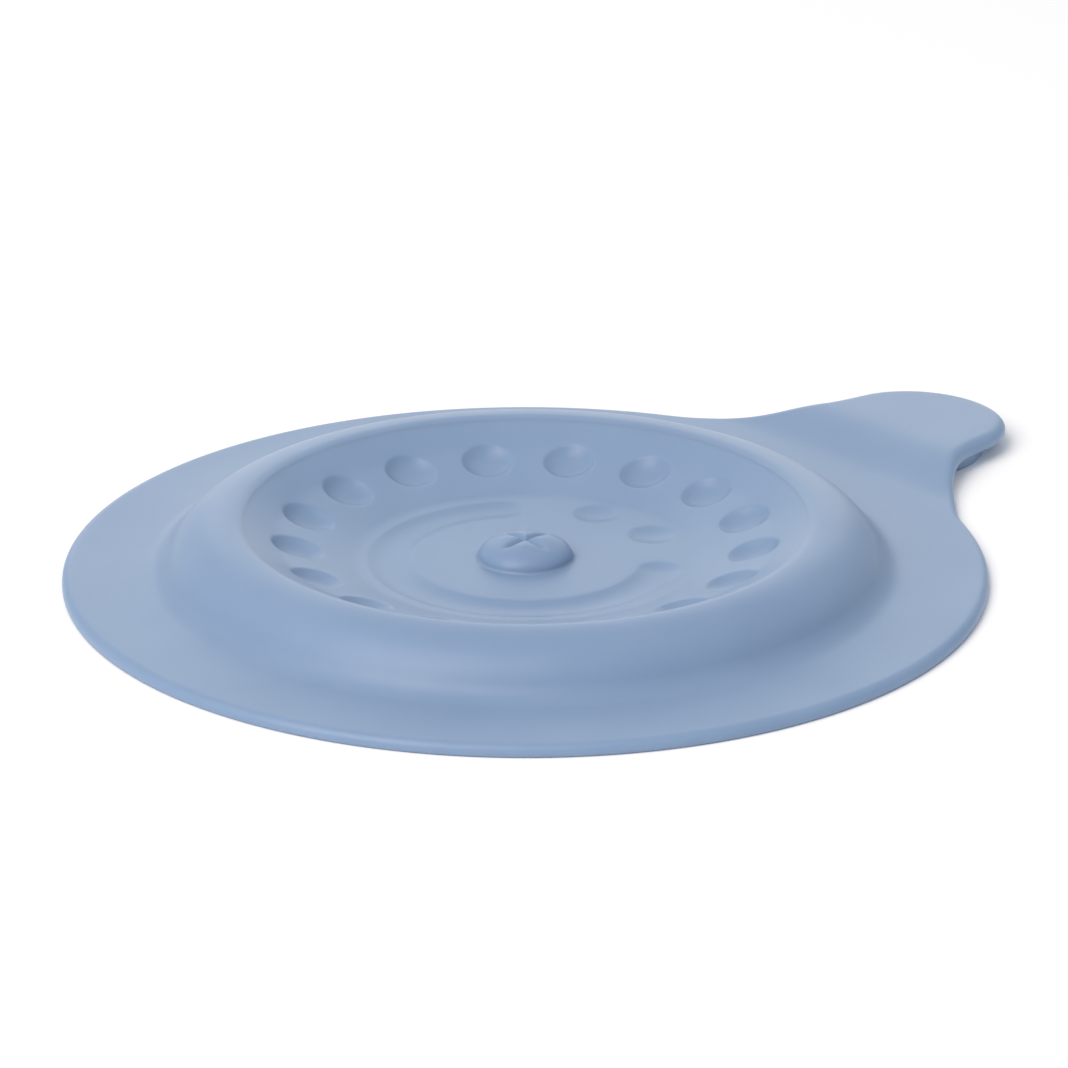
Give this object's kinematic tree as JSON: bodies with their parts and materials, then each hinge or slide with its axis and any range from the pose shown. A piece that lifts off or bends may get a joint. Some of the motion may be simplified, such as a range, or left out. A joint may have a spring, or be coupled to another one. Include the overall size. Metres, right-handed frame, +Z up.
{
  "type": "bathtub drain cover",
  "caption": "Flat round silicone cover that seals a bathtub drain, with a raised hollow ring, a dimpled bowl, a button in the middle and a pull tab.",
  "frame": {"origin": "bottom centre of the bounding box, on the plane that the cover rests on; the skirt's round axis is 15.5 mm from it towards -X", "axes": "+X along the pull tab, +Z up out of the tub"},
  "size_m": [0.181, 0.15, 0.0107],
  "materials": {
    "silicone": "satin moulded silicone"
  },
  "bodies": {
    "cover": {"sealing_skirt": "silicone", "raised_ring": "silicone", "bowl_wall": "silicone", "flex_web": "silicone"},
    "centre": {"centre_floor": "silicone", "grip_button": "silicone"},
    "tab": {"pull_tab": "silicone", "tab_foot": "silicone"}
  },
  "joints": [
    {"name": "centre_press", "type": "slide", "parent": "cover", "child": "centre", "axis": [0, 0, 1], "range_m": [-0.001, 0.002], "stiffness_N_per_m": 2000, "deforming": ["flex_web"]},
    {"name": "tab_lift", "type": "hinge", "parent": "cover", "child": "tab", "pos_m": [0.0611, 0, 0.0011], "axis": [0, -1, 0], "range_deg": [0, 60], "stiffness_Nm_per_rad": 0.05}
  ]
}
